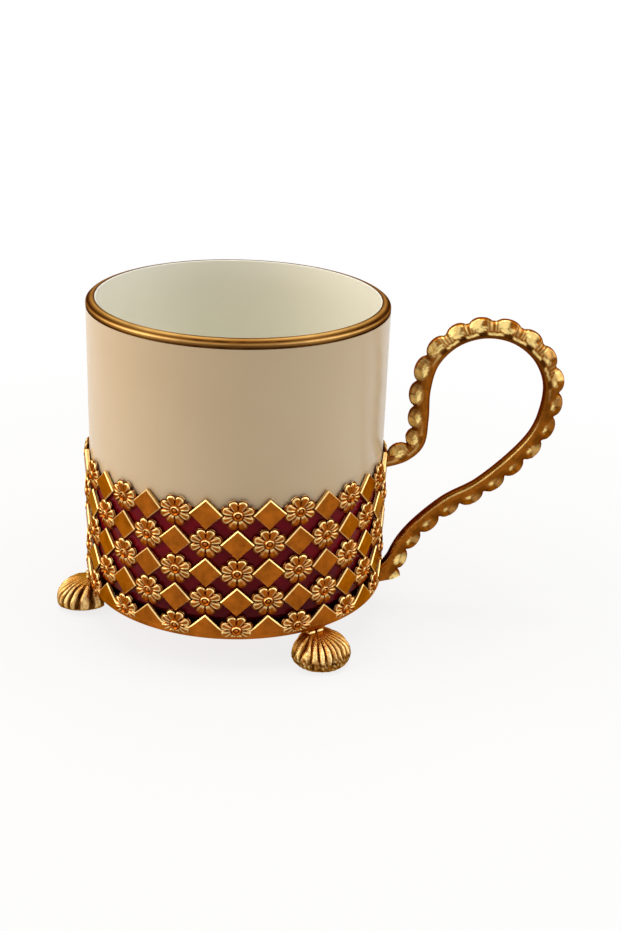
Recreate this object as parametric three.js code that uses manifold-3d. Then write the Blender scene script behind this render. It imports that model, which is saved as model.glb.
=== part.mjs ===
// A porcelain coffee cup that lifts out of a footed holder with a pierced wall.
// Millimetres, +Z up. The origin is the middle of the base plate's underside, on the cup's axis,
// and the handle points along +X.
import * as THREE from 'three';
import { mergeVertices } from 'three/addons/utils/BufferGeometryUtils.js';
import Module from 'manifold-3d';

const wasm = await Module();
wasm.setup();

// Porcelain cup
const cupRadius = 27.8;
const cupHeight = 54.5;
const cupWall = 2.0;
const cupFloor = 3.0;
const lipThickness = 1.6;
const lipHeight = 4.0;
const cornerRadius = 3.0;
const footRingWidth = 2.0;
const footRingHeight = 0.8;

// Layers on the porcelain: the gilt lip and the burgundy sleeve
const skinThickness = 0.3;
const skinGap = 0.1;
const giltHeightOutside = 1.4;
const giltHeightInside = 0.8;
const burgundyAboveTopRow = 0.7;

// Pierced gallery
const columns = 32;
const rows = 5;
const petals = 8;
const rowPitch = 5.6;
const bottomRowAboveSeat = 0.85;
const plateThickness = 0.7;
const cupClearance = 0.25;
const rosetteRadius = 2.9;
const rosetteThickness = 0.45;
const cornerBite = 0.2;
const bandRecess = 0.15;

// Base plate
const baseThickness = 1.0;

// Handle
const seamGap = 0.3;
const railDepth = 2.8;
const railWidth = 3.6;
const upperRootAboveTopRow = 0.5;
const lowerRootAboveBase = 0.3;
const armReach = 2.8;
const armRise = 1.2;
const elbowReach = 5.0;
const elbowRise = 3.6;
const stemReach = 5.5;
const stemRise = 8.3;
const loopRadius = 11.8;
const loopCentreRise = 14.4;
const loopEndAngle = -14;
const shoulderReach = 26.8;
const shoulderRise = 30.2;
const tailReach = 17.8;
const tailRise = 20.2;
const bendReach = 11.0;
const bendRise = 15.7;
const kneeReach = 4.3;
const kneeRise = 8.5;
const heelReach = 2.1;
const heelRise = 2.6;
const heelDrop = 1.6;
const beadRadius = 1.65;
const beadOffset = 1.0;
const beadCount = 23;

// Scallop-shell feet, their angles counted from the handle
const frontFootAngle = -52.8;
const backFootAngle = 67.2;
const leftFootAngle = -168;
const footHeight = 6.4;
const shellReach = 6.0;
const shellHalfWidth = 5.2;
const shellDrop = 0.3;
const shellBulgeHeight = 2.6;
const shellSoleShare = 0.78;
const shellRibs = 20;
const shellRibDepth = 0.3;
const shellBack = 3.2;
const earLength = 5.8;
const earDepth = 1.2;
const earHeight = 1.6;

// Fineness of the round pieces
const turns = 48;
const cornerSteps = 3;
const railSteps = 48;
const railSides = 8;
const loopSpans = 7;
const beadSides = 6;
const beadRings = 4;
const weldTolerance = 1e-4;

// Places that follow from the sizes
const seatHeight = baseThickness;
const rimHeight = seatHeight + cupHeight;
const cupInnerRadius = cupRadius - cupWall;
const lipInnerRadius = cupRadius - lipThickness;
const skinStep = skinThickness + skinGap;
const galleryBack = cupRadius + cupClearance;
const galleryFront = galleryBack + plateThickness;
const columnAngle = (2 * Math.PI) / columns;
const columnPitch = 2 * (galleryBack + plateThickness / 2) * Math.tan(columnAngle / 2);
const bottomRowHeight = seatHeight + bottomRowAboveSeat;
const topRowHeight = bottomRowHeight + (rows - 1) * rowPitch;
const burgundyTop = topRowHeight + burgundyAboveTopRow;
const burgundyBottom = seatHeight + cornerRadius;
const handlePlane = galleryFront / Math.cos(columnAngle / 2) + seamGap;

// Materials
const porcelain = new THREE.MeshStandardMaterial({ color: 0xe6d9c3, roughness: 0.18, metalness: 0 });
const gilt = new THREE.MeshStandardMaterial({ color: 0xa8742f, roughness: 0.25, metalness: 1 });
const burgundy = new THREE.MeshStandardMaterial({ color: 0x4e0a1c, roughness: 0.2, metalness: 0 });
const goldBrass = new THREE.MeshStandardMaterial({ color: 0xc98a3c, roughness: 0.35, metalness: 1 });
const castBrass = new THREE.MeshStandardMaterial({ color: 0xb97c30, roughness: 0.4, metalness: 1 });

function toSolid(geometry) {
  const bare = geometry.clone();
  bare.deleteAttribute('normal');
  bare.deleteAttribute('uv');
  const merged = mergeVertices(bare, weldTolerance);
  const corners = merged.index.array;
  const triangles = [];
  for (let i = 0; i < corners.length; i += 3) {
    const [a, b, c] = corners.slice(i, i + 3);
    if (a !== b && b !== c && c !== a) {
      triangles.push(a, b, c);
    }
  }
  const vertProperties = Float32Array.from(merged.attributes.position.array);
  const triVerts = Uint32Array.from(triangles);
  return new wasm.Manifold(new wasm.Mesh({ numProp: 3, vertProperties, triVerts }));
}

function toMesh(name, solid, material) {
  const { vertProperties, triVerts } = solid.getMesh();
  const geometry = new THREE.BufferGeometry();
  geometry.setAttribute('position', new THREE.BufferAttribute(vertProperties, 3));
  geometry.setIndex(new THREE.BufferAttribute(triVerts, 1));
  geometry.computeVertexNormals();
  const mesh = new THREE.Mesh(geometry, material);
  mesh.name = name;
  return mesh;
}

// A turned piece from a profile of [radius, height] points, walked counter-clockwise.
function turned(profile, segments = turns) {
  const points = profile.map(([radius, height]) => new THREE.Vector2(radius, height));
  return new THREE.LatheGeometry(points, segments).rotateX(Math.PI / 2);
}

function ring(inner, outer, bottom, top, segments = turns) {
  const profile = [[inner, bottom], [outer, bottom], [outer, top], [inner, top], [inner, bottom]];
  return turned(profile, segments);
}

// A box from its low corner to its high corner.
function block(low, high) {
  const size = high.map((value, i) => value - low[i]);
  const middle = high.map((value, i) => (value + low[i]) / 2);
  return new THREE.BoxGeometry(...size).translate(...middle);
}

// Points along an arc, as [across, up] pairs.
function arc(centreAcross, centreUp, radius, startAngle, endAngle, steps) {
  return Array.from({ length: steps + 1 }, (_, i) => {
    const angle = startAngle + ((endAngle - startAngle) * i) / steps;
    return [centreAcross + radius * Math.cos(angle), centreUp + radius * Math.sin(angle)];
  });
}

// The insert: a turned wall with a foot ring, stepped back where the burgundy and the gilt lie on it.
function porcelainCup() {
  const footOuter = cupRadius - cornerRadius;
  const footInner = footOuter - footRingWidth;
  const hollowFloor = seatHeight + footRingHeight + cupFloor;
  const corner = arc(footOuter, burgundyBottom, cornerRadius - skinStep, -Math.PI / 2, 0,
    cornerSteps);
  const innerCorner = arc(cupInnerRadius - cornerRadius, hollowFloor + cornerRadius, cornerRadius,
    0, -Math.PI / 2, cornerSteps);
  const profile = [
    [0, seatHeight + footRingHeight],
    [footInner, seatHeight + footRingHeight],
    [footInner, seatHeight],
    [footOuter, seatHeight],
    ...corner,
    [cupRadius - skinStep, burgundyTop + skinGap],
    [cupRadius, burgundyTop + skinGap],
    [cupRadius, rimHeight - giltHeightOutside - skinGap],
    [cupRadius - skinStep, rimHeight - giltHeightOutside - skinGap],
    [cupRadius - skinStep, rimHeight - skinStep],
    [lipInnerRadius + skinStep, rimHeight - skinStep],
    [lipInnerRadius + skinStep, rimHeight - giltHeightInside - skinGap],
    [lipInnerRadius, rimHeight - giltHeightInside - skinGap],
    [cupInnerRadius, rimHeight - lipHeight],
    ...innerCorner,
    [0, hollowFloor],
  ];
  return toMesh('porcelain_cup', toSolid(turned(profile)), porcelain);
}

// The gold line: a cap over the lip, open underneath.
function giltRim() {
  const outerFace = cupRadius - skinThickness;
  const innerFace = lipInnerRadius + skinThickness;
  const underTop = rimHeight - skinThickness;
  const outerHem = rimHeight - giltHeightOutside;
  const innerHem = rimHeight - giltHeightInside;
  const profile = [
    [outerFace, outerHem],
    [cupRadius, outerHem],
    [cupRadius, underTop],
    [outerFace, rimHeight],
    [innerFace, rimHeight],
    [lipInnerRadius, underTop],
    [lipInnerRadius, innerHem],
    [innerFace, innerHem],
    [innerFace, underTop],
    [outerFace, underTop],
    [outerFace, outerHem],
  ];
  return toMesh('gilt_rim', toSolid(turned(profile)), gilt);
}

function burgundyBand() {
  const sleeve = ring(cupRadius - skinThickness, cupRadius, burgundyBottom, burgundyTop);
  return toMesh('burgundy_band', toSolid(sleeve), burgundy);
}

// A flat diamond plate, its back on the YZ plane and its face towards +X.
function diamondPlate() {
  const rosetteFlat = rosetteRadius * Math.cos(Math.PI / petals);
  const halfWidth = columnPitch - rosetteFlat + cornerBite;
  const halfHeight = rowPitch - rosetteFlat + cornerBite;
  const outline = new THREE.Shape([
    new THREE.Vector2(halfWidth, 0),
    new THREE.Vector2(0, halfHeight),
    new THREE.Vector2(-halfWidth, 0),
    new THREE.Vector2(0, -halfHeight),
  ]);
  const plate = new THREE.ExtrudeGeometry(outline, { depth: plateThickness, bevelEnabled: false });
  return plate.rotateX(Math.PI / 2).rotateZ(Math.PI / 2);
}

// An eight-sided rosette plate, one corner for each petal, set midway in the thickness of the diamonds.
function rosettePlate() {
  const back = (plateThickness - rosetteThickness) / 2;
  const plate = new THREE.CylinderGeometry(rosetteRadius, rosetteRadius, rosetteThickness, petals);
  plate.rotateY(Math.PI / petals).rotateZ(-Math.PI / 2);
  return plate.translate(back + rosetteThickness / 2, 0, 0);
}

// Diamonds and rosettes take turns along the rows and the columns, and bite into each other at the corners.
function piercedGallery() {
  const diamond = diamondPlate();
  const rosette = rosettePlate();
  const flatToCorner = 1 / Math.cos(columnAngle / 2);
  const bandBack = galleryBack * flatToCorner;
  const bandFront = (galleryFront - bandRecess) * flatToCorner;
  let wall = toSolid(ring(bandBack, bandFront, seatHeight, bottomRowHeight, columns));
  for (let row = 0; row < rows; row += 1) {
    for (let column = 0; column < columns; column += 1) {
      const plate = (row + column) % 2 === 0 ? rosette : diamond;
      const placed = plate.clone();
      placed.translate(galleryBack, 0, topRowHeight - row * rowPitch);
      placed.rotateZ((column + 0.5) * columnAngle);
      wall = wall.add(toSolid(placed));
    }
  }
  const span = 2 * galleryFront;
  const belowSeat = block([-span, -span, seatHeight - span], [span, span, seatHeight]);
  return toMesh('pierced_gallery', wall.subtract(toSolid(belowSeat)), goldBrass);
}

function basePlate() {
  const disc = turned([[0, 0], [galleryFront, 0], [galleryFront, baseThickness], [0, baseThickness]]);
  return toMesh('base_plate', toSolid(disc), goldBrass);
}

// The middle of the handle's rail, from the upper root round the loop to the lower root.
function handlePath() {
  const upperRoot = topRowHeight + upperRootAboveTopRow;
  const lowerRoot = lowerRootAboveBase;
  const loopX = handlePlane + stemReach + loopRadius;
  const loopZ = upperRoot + loopCentreRise;
  const point = (x, z) => new THREE.Vector3(x, 0, z);
  const loopEnd = THREE.MathUtils.degToRad(loopEndAngle);
  const loop = arc(loopX, loopZ, loopRadius, Math.PI, loopEnd, loopSpans).map(([x, z]) => point(x, z));
  return new THREE.CatmullRomCurve3([
    point(handlePlane - railDepth, upperRoot - armRise / 2),
    point(handlePlane, upperRoot),
    point(handlePlane + armReach, upperRoot + armRise),
    point(handlePlane + elbowReach, upperRoot + elbowRise),
    point(handlePlane + stemReach, upperRoot + stemRise),
    ...loop,
    point(handlePlane + shoulderReach, lowerRoot + shoulderRise),
    point(handlePlane + tailReach, lowerRoot + tailRise),
    point(handlePlane + bendReach, lowerRoot + bendRise),
    point(handlePlane + kneeReach, lowerRoot + kneeRise),
    point(handlePlane + heelReach, lowerRoot + heelRise),
    point(handlePlane, lowerRoot - heelDrop),
  ], false, 'centripetal');
}

// A swept oval rail with a row of beads along its outer side, cut flat where it meets the gallery.
function handle() {
  const path = handlePath();
  const section = new THREE.Shape(
    new THREE.EllipseCurve(0, 0, railWidth / 2, railDepth / 2).getPoints(railSides).slice(0, railSides),
  );
  const rail = new THREE.ExtrudeGeometry(section, { steps: railSteps, extrudePath: path });
  let solid = toSolid(rail);
  const bead = new THREE.SphereGeometry(beadRadius, beadSides, beadRings);
  for (let i = 0; i < beadCount; i += 1) {
    const along = (i + 1) / (beadCount + 1);
    const middle = path.getPointAt(along);
    const heading = path.getTangentAt(along);
    const outward = new THREE.Vector3(-heading.z, 0, heading.x).multiplyScalar(beadOffset);
    const placed = bead.clone().translate(...middle.add(outward));
    solid = solid.add(toSolid(placed));
  }
  const span = cupHeight;
  const insideGallery = block([-span, -span, -span], [handlePlane, span, 2 * span]);
  return toMesh('handle', solid.subtract(toSolid(insideGallery)), castBrass);
}

// A ribbed half dome whose ribs run down from its ears, with a flat sole. The ears lie under the base plate.
// The profile is drawn for a dome of radius 1, then stretched to the shell's reach and width.
function shellFoot(name, angle) {
  const hinge = galleryFront + seamGap;
  const sole = -footHeight;
  const bulge = sole + shellBulgeHeight;
  const crown = -shellDrop;
  const rise = crown - bulge;
  const profile = [
    [0, sole],
    [shellSoleShare, sole],
    [1, bulge],
    ...arc(0, 0, 1, Math.PI / 6, Math.PI / 3, 1).map(([radius, height]) => [radius, bulge + rise * height]),
    [0, crown],
  ];
  const dome = turned(profile, 2 * shellRibs);
  const position = dome.attributes.position;
  for (let i = 0; i < position.count; i += 1) {
    const x = position.getX(i);
    const y = position.getY(i);
    const spoke = Math.round((Math.atan2(y, x) * shellRibs) / Math.PI);
    const valley = Math.abs(spoke) % 2 === 1 ? shellRibDepth : 0;
    position.setX(i, x * (shellReach - valley));
    position.setY(i, y * (shellHalfWidth - valley));
  }
  dome.translate(hinge, 0, 0);
  const ears = block([hinge - shellBack, -earLength / 2, -earHeight], [hinge + earDepth, earLength / 2, 0]);
  const behind = block([0, -hinge, -hinge], [hinge - shellBack, hinge, hinge]);
  const mesh = toMesh(name, toSolid(dome).add(toSolid(ears)).subtract(toSolid(behind)), castBrass);
  mesh.rotation.z = THREE.MathUtils.degToRad(angle);
  return mesh;
}

const object = new THREE.Group();
object.add(porcelainCup(), giltRim(), burgundyBand());
object.add(piercedGallery(), basePlate(), handle());
object.add(shellFoot('shell_foot_front', frontFootAngle));
object.add(shellFoot('shell_foot_back', backFootAngle));
object.add(shellFoot('shell_foot_left', leftFootAngle));

export default object;
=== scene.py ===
import bpy
import bmesh
import math
from mathutils import Matrix, Vector, noise


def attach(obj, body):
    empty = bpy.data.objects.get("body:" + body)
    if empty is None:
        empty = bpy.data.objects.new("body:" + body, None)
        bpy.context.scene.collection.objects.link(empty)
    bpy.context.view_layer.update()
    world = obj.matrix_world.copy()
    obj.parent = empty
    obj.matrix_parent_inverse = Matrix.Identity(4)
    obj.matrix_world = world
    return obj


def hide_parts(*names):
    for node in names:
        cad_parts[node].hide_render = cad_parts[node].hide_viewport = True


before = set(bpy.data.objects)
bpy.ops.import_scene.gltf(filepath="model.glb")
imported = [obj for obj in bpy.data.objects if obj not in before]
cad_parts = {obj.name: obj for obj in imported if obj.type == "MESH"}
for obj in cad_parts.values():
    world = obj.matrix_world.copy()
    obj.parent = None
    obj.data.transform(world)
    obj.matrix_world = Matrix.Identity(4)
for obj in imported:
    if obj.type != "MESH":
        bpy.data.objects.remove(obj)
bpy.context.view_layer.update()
scene = bpy.context.scene
print("frame loaded:", sorted(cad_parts))

millimetre = 0.001  # shapes are drawn in millimetres and scaled once, in makePiece

# sizes that more than one piece shares
sizes = {
    "cupRadius": 27.8,
    "rimHeight": 55.5,
    "seatHeight": 1.0,
    "tableHeight": -6.4,
    "burgundyBottom": 4.0,
    "burgundyTop": 24.95,
    "galleryBack": 28.05,
    "galleryFront": 28.75,
    "columns": 32,
    "rows": 5,
    "rowPitch": 5.6,
    "topRowHeight": 24.25,
    "turnSteps": 144,  # round a turned piece
}
meshing = {"weld": 1e-4, "cut": 1e-5, "cornerSegments": 6}


# shapes

def closeUp(bm):
    bmesh.ops.remove_doubles(bm, verts=bm.verts, dist=meshing["weld"])
    bmesh.ops.dissolve_degenerate(bm, edges=bm.edges, dist=meshing["cut"])
    bmesh.ops.recalc_face_normals(bm, faces=bm.faces)


def roundOff(bm, geom, offset, segments, affect="EDGES"):
    bmesh.ops.bevel(bm, geom=geom, offset=offset, offset_type="OFFSET", segments=segments,
                    profile=0.5, affect=affect, material=-1)


def cutAway(bm, place, facing):
    # takes off what lies past the place on the facing side, and fills the cut
    cut = bmesh.ops.bisect_plane(bm, geom=bm.verts[:] + bm.edges[:] + bm.faces[:], dist=meshing["cut"],
                                 plane_co=place, plane_no=facing, clear_outer=True)
    rims = [item for item in cut["geom_cut"] if isinstance(item, bmesh.types.BMEdge)]
    bmesh.ops.holes_fill(bm, edges=rims, sides=0)


def turnProfile(points, rounded, closed):
    # points are (radius, height); rounded maps a point's number to the radius of its corner
    bm = bmesh.new()
    verts = [bm.verts.new((radius, 0, height)) for radius, height in points]
    for a, b in zip(verts, verts[1:]):
        bm.edges.new((a, b))
    if closed:
        bm.edges.new((verts[-1], verts[0]))
    for number, radius in rounded.items():
        roundOff(bm, [verts[number]], radius, meshing["cornerSegments"], "VERTICES")
    bmesh.ops.spin(bm, geom=bm.verts[:] + bm.edges[:], cent=(0, 0, 0), axis=(0, 0, 1),
                   angle=2 * math.pi, steps=sizes["turnSteps"], use_merge=True)
    closeUp(bm)
    return bm


def wrapGrid(across, along, place):
    # a grid whose points are placed by share across and share along, then sewn where its edges meet
    bm = bmesh.new()
    bmesh.ops.create_grid(bm, x_segments=across, y_segments=along, size=1.0)
    # each point also carries its patina and painted shade, and its wear and painted highlights
    recessAndShade = bm.verts.layers.float.new("recessAndShade")
    wearAndPaintedLight = bm.verts.layers.float.new("wearAndPaintedLight")
    for vert in bm.verts:
        point, hollowAndShade, rubbedAndHighlight = place((vert.co.x + 1) / 2, (vert.co.y + 1) / 2)
        vert.co = point
        vert[recessAndShade] = hollowAndShade
        vert[wearAndPaintedLight] = rubbedAndHighlight
    closeUp(bm)
    return bm


def addShape(bm, shape, place=Matrix()):
    part = bpy.data.meshes.new("part")
    shape.to_mesh(part)
    part.transform(place)
    bm.from_mesh(part)
    bpy.data.meshes.remove(part)


def addObject(name, data):
    added = bpy.data.objects.new(name, data)
    scene.collection.objects.link(added)
    return added


def meshObject(name, bm, materials):
    mesh = bpy.data.meshes.new(name)
    bm.to_mesh(mesh)
    bm.free()
    for material in materials:
        mesh.materials.append(material)
    return addObject(name, mesh)


def makePiece(name, bm, materials, body, nodes, sharpAngle=50):
    bmesh.ops.scale(bm, vec=(millimetre,) * 3, verts=bm.verts)
    piece = meshObject(name, bm, materials)
    piece.data.shade_smooth()
    piece.data.set_sharp_from_angle(angle=math.radians(sharpAngle))
    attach(piece, body)
    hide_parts(*nodes)
    print(name, "made with", len(piece.data.polygons), "faces")


def rise(span, value):
    # 0 below the span, 1 above it and smooth between
    low, high = span
    share = min(1.0, max(0.0, (value - low) / (high - low)))
    return share * share * (3 - 2 * share)


def fall(span, value):
    return 1 - rise(span, value)


def within(spans, value):
    # rises over the first span and falls over the second
    return rise(spans[:2], value) * fall(spans[2:], value)


def graded(pair, share):
    # the first number, and the share of the second on top of it
    return pair[0] + pair[1] * share


def chance(number, step, start):
    # a fixed random value between -1 and 1 for a numbered bead or rib
    return noise.noise(Vector((step * number, start, 0.5)))


def fromTable(table, place):
    # straight lines between (place, value) pairs
    for (a, low), (b, high) in zip(table, table[1:]):
        if place <= b:
            return low + (high - low) * max(0.0, place - a) / (b - a)
    return table[-1][1]


# materials

def addNode(tree, kind, inputs=None, **settings):
    node = tree.nodes.new(kind)
    for name, value in settings.items():
        setattr(node, name, value)
    for name, value in (inputs or {}).items():
        socket = node.inputs[name]
        if isinstance(value, bpy.types.NodeSocket):
            tree.links.new(value, socket)
        else:
            socket.default_value = value
    return node


def colour(red, green, blue):
    # a colour given on a 0 to 255 scale, made linear
    linear = []
    for value in (red, green, blue):
        share = value / 255
        linear.append(share / 12.92 if share <= 0.04045 else ((share + 0.055) / 1.055) ** 2.4)
    return (*linear, 1.0)


def combine(tree, operation, *values, clamp=False):
    node = addNode(tree, "ShaderNodeMath", dict(enumerate(values)), operation=operation, use_clamp=clamp)
    return node.outputs["Value"]


def mapRange(tree, value, span, target=(0.0, 1.0), **settings):
    limits = dict(zip(("From Min", "From Max", "To Min", "To Max"), (*span, *target)))
    return addNode(tree, "ShaderNodeMapRange", {"Value": value, **limits}, **settings).outputs["Result"]


def noisePattern(tree, place, scale, detail, roughness=0.5):
    node = addNode(tree, "ShaderNodeTexNoise", {
        "Vector": place, "Scale": scale, "Detail": detail, "Roughness": roughness})
    return node.outputs["Fac"]


def mixColours(tree, share, first, second):
    node = addNode(tree, "ShaderNodeMix", {"Factor": share, "A": first, "B": second}, data_type="RGBA")
    return node.outputs["Result"]


def newMaterial(name):
    material = bpy.data.materials.new(name)
    material.use_nodes = True
    tree = material.node_tree
    tree.nodes.clear()
    shader = addNode(tree, "ShaderNodeBsdfPrincipled")
    output = addNode(tree, "ShaderNodeOutputMaterial")
    tree.links.new(shader.outputs["BSDF"], output.inputs["Surface"])
    return material, tree, shader


def dressShader(tree, shader, tint, roughness, height, strengthAndDepth):
    strength, depth = strengthAndDepth
    bump = addNode(tree, "ShaderNodeBump", {"Strength": strength, "Distance": depth * millimetre, "Height": height})
    tree.links.new(tint, shader.inputs["Base Color"])
    tree.links.new(roughness, shader.inputs["Roughness"])
    tree.links.new(bump.outputs["Normal"], shader.inputs["Normal"])


goldPattern = {
    "mottle": (4.0, 0.6),  # detail and roughness of the pattern
    "grain": (3.0, 0.65),
    "tintSpan": (0.33, 0.67),
    "tint": (0.7, 1.28),
    "brokenSpan": (0.25, 0.75),
    "broken": (0.65, 1.2),  # how the mottle breaks up the wear and painted highlights, and the patina and painted shade
    "grainRough": 0.14,
    "hollowRough": 0.2,
    "mottleHeight": 0.6,
}


def buildGoldFinish():
    # gold with dark patina and painted shade in the hollows, and rubbed edges and painted highlights: colour,
    # roughness and a fine height for a bump
    pattern = goldPattern
    group = bpy.data.node_groups.new("wornAndLitGold", "ShaderNodeTree")
    for side, kind, names in (
            ("INPUT", "NodeSocketColor", ("gold", "patinaAndShade", "rubbedAndHighlight")),
            ("INPUT", "NodeSocketFloat", ("recessAndShade", "wearAndPaintedLight", "mottle", "grain", "polishAndLight", "edgeGrain")),
            ("OUTPUT", "NodeSocketColor", ("Colour",)),
            ("OUTPUT", "NodeSocketFloat", ("Roughness", "Height"))):
        for name in names:
            group.interface.new_socket(name, in_out=side, socket_type=kind)
    start = addNode(group, "NodeGroupInput").outputs
    place = addNode(group, "ShaderNodeTexCoord").outputs["Object"]
    mottle = noisePattern(group, place, start["mottle"], *pattern["mottle"])
    grain = noisePattern(group, place, start["grain"], *pattern["grain"])
    shade = mapRange(group, mottle, pattern["tintSpan"], pattern["tint"])
    tinted = addNode(group, "ShaderNodeVectorMath", {0: start["gold"], "Scale": shade}, operation="SCALE")
    broken = mapRange(group, mottle, pattern["brokenSpan"], pattern["broken"])
    bright = combine(group, "MULTIPLY", start["wearAndPaintedLight"], broken, clamp=True)
    polishedAndLit = mixColours(group, bright, tinted.outputs["Vector"], start["rubbedAndHighlight"])
    hollowAndShade = combine(group, "MULTIPLY", start["recessAndShade"], broken, clamp=True)
    mixed = mixColours(group, hollowAndShade, polishedAndLit, start["patinaAndShade"])
    grit = combine(group, "MULTIPLY_ADD", grain, pattern["grainRough"], start["polishAndLight"])
    edge = combine(group, "MULTIPLY_ADD", start["wearAndPaintedLight"], start["edgeGrain"], grit)
    rough = combine(group, "MULTIPLY_ADD", hollowAndShade, pattern["hollowRough"], edge)
    height = combine(group, "MULTIPLY_ADD", mottle, pattern["mottleHeight"], grain)
    addNode(group, "NodeGroupOutput", {"Colour": mixed, "Roughness": rough, "Height": height})
    return group


goldFinish = buildGoldFinish()


def goldMaterial(name, finish):
    material, tree, shader = newMaterial(name)
    wornAndLit = addNode(tree, "ShaderNodeGroup", node_tree=goldFinish)
    for layer in ("recessAndShade", "wearAndPaintedLight"):
        painted = addNode(tree, "ShaderNodeAttribute", attribute_name=layer)
        tree.links.new(painted.outputs["Fac"], wornAndLit.inputs[layer])
    for setting in ("gold", "patinaAndShade", "rubbedAndHighlight", "mottle", "grain", "polishAndLight", "edgeGrain"):
        wornAndLit.inputs[setting].default_value = finish[setting]
    results = [wornAndLit.outputs[name] for name in ("Colour", "Roughness", "Height")]
    dressShader(tree, shader, *results, finish["bump"])
    shader.inputs["Metallic"].default_value = 1.0
    shader.inputs["Specular Tint"].default_value = finish["glance"]
    return material


# in each gold the patina colour also serves for painted shade, and the rubbed colour for painted highlights
plainGold = {"patinaAndShade": colour(66, 30, 6), "rubbedAndHighlight": colour(252, 216, 142), "glance": colour(240, 205, 150),
             "polishAndLight": 0.16, "edgeGrain": 0.16, "bump": (0.2, 0.04)}
goldFinishes = {
    "diamondGold": {**plainGold, "gold": colour(154, 83, 20), "mottle": 420.0, "grain": 3000.0},
    "rosetteGold": {"gold": colour(150, 77, 15), "patinaAndShade": colour(94, 39, 4), "rubbedAndHighlight": colour(255, 232, 158),
                    "glance": colour(204, 150, 86), "mottle": 600.0, "grain": 2600.0, "polishAndLight": 0.12,
                    "edgeGrain": 0.04, "bump": (0.15, 0.04)},
    "handleGold": {"gold": colour(138, 77, 17), "patinaAndShade": colour(58, 28, 6), "rubbedAndHighlight": colour(255, 222, 140),
                   "glance": colour(206, 156, 92), "mottle": 700.0, "grain": 1800.0, "polishAndLight": 0.16,
                   "edgeGrain": 0.0, "bump": (0.5, 0.12)},
    "shellGold": {"gold": colour(172, 112, 42), "patinaAndShade": colour(62, 30, 6), "rubbedAndHighlight": colour(255, 228, 160),
                  "glance": colour(236, 198, 140), "mottle": 1300.0, "grain": 3400.0, "polishAndLight": 0.12,
                  "edgeGrain": 0.04, "bump": (0.6, 0.15)},
    "baseGold": {**plainGold, "gold": colour(152, 82, 20), "mottle": 300.0, "grain": 2400.0},
    "rimGold": {"gold": colour(126, 80, 26), "patinaAndShade": colour(56, 30, 8), "rubbedAndHighlight": colour(222, 178, 110),
                "glance": colour(140, 96, 50), "mottle": 260.0, "grain": 2000.0, "polishAndLight": 0.32,
                "edgeGrain": 0.0, "bump": (0.12, 0.04)},
}
gold = {name: goldMaterial(name, finish) for name, finish in goldFinishes.items()}

porcelainGlaze = {"cloudScale": 38.0, "cloudSpan": (0.1, 0.9), "cloudEdge": "SMOOTHSTEP", "pinScale": 900.0,
                  "detail": 2.0, "roughness": (0.23, 0.29), "bump": (0.12, 0.03), "shine": 0.35}
glazeFinishes = {
    "ivoryGlaze": {**porcelainGlaze, "clear": colour(223, 201, 168), "cloudy": colour(215, 191, 156)},
    "paleGlaze": {**porcelainGlaze, "clear": colour(248, 246, 233), "cloudy": colour(242, 239, 224)},
    "burgundyEnamel": {
        "clear": colour(98, 5, 15), "cloudy": colour(138, 12, 30), "cloudScale": 160.0, "cloudSpan": (0.25, 0.85),
        "cloudEdge": "LINEAR", "pinScale": 160.0, "detail": 4.0, "roughness": (0.11, 0.26), "bump": (0.15, 0.05),
        "shine": 0.06, "darkSpan": (6.5, 15.0), "darkest": 0.6},  # painted shade: it is darker towards the foot, where the gallery shades it
}


def glazeMaterial(name, finish):
    material, tree, shader = newMaterial(name)
    place = addNode(tree, "ShaderNodeTexCoord").outputs["Object"]
    clouds = noisePattern(tree, place, finish["cloudScale"], finish["detail"])
    pins = noisePattern(tree, place, finish["pinScale"], finish["detail"])
    share = mapRange(tree, clouds, finish["cloudSpan"], interpolation_type=finish["cloudEdge"])
    tint = mixColours(tree, share, finish["clear"], finish["cloudy"])
    # painted shade, darker towards the foot
    if "darkSpan" in finish:
        height = addNode(tree, "ShaderNodeSeparateXYZ", {"Vector": place}).outputs["Z"]
        depth = mapRange(tree, height, [end * millimetre for end in finish["darkSpan"]], (finish["darkest"], 1.0),
                         interpolation_type="SMOOTHSTEP")
        tint = addNode(tree, "ShaderNodeVectorMath", {0: tint, "Scale": depth}, operation="SCALE").outputs["Vector"]
    gloss = mapRange(tree, clouds, (0.0, 1.0), finish["roughness"])
    dressShader(tree, shader, tint, gloss, pins, finish["bump"])
    shader.inputs["Specular IOR Level"].default_value = finish["shine"]
    return material


glaze = {name: glazeMaterial(name, finish) for name, finish in glazeFinishes.items()}
print("materials made")


# the porcelain insert

cupShape = {
    "footOuter": 24.8,
    "footInner": 22.8,
    "underside": 1.8,
    "cornerHeight": 3.2,
    "wallUnderEnamel": 27.4,
    "wallInside": 25.7,
    "lipInside": 25.98,
    "lipStart": 51.5,
    "floor": 4.8,
    "glazeStep": 25.05,
    "rimStep": 53.95,
    "rimSeat": 0.3,
    "underRim": [(27.5, 54.42), (27.1, 54.92), (26.2, 55.12), (26.2, 55.46)],
    "corners": {1: 0.3, 2: 0.4, 3: 0.5, 4: 1.6, 6: 0.12, 13: 0.2, 14: 1.0, 15: 3.0},  # by number on the profile
    "paleWithin": 26.24,  # the pale glaze lies within this radius and above this height
    "paleAbove": 4.7,
    "enamelBelow": 24.55,
}


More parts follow.
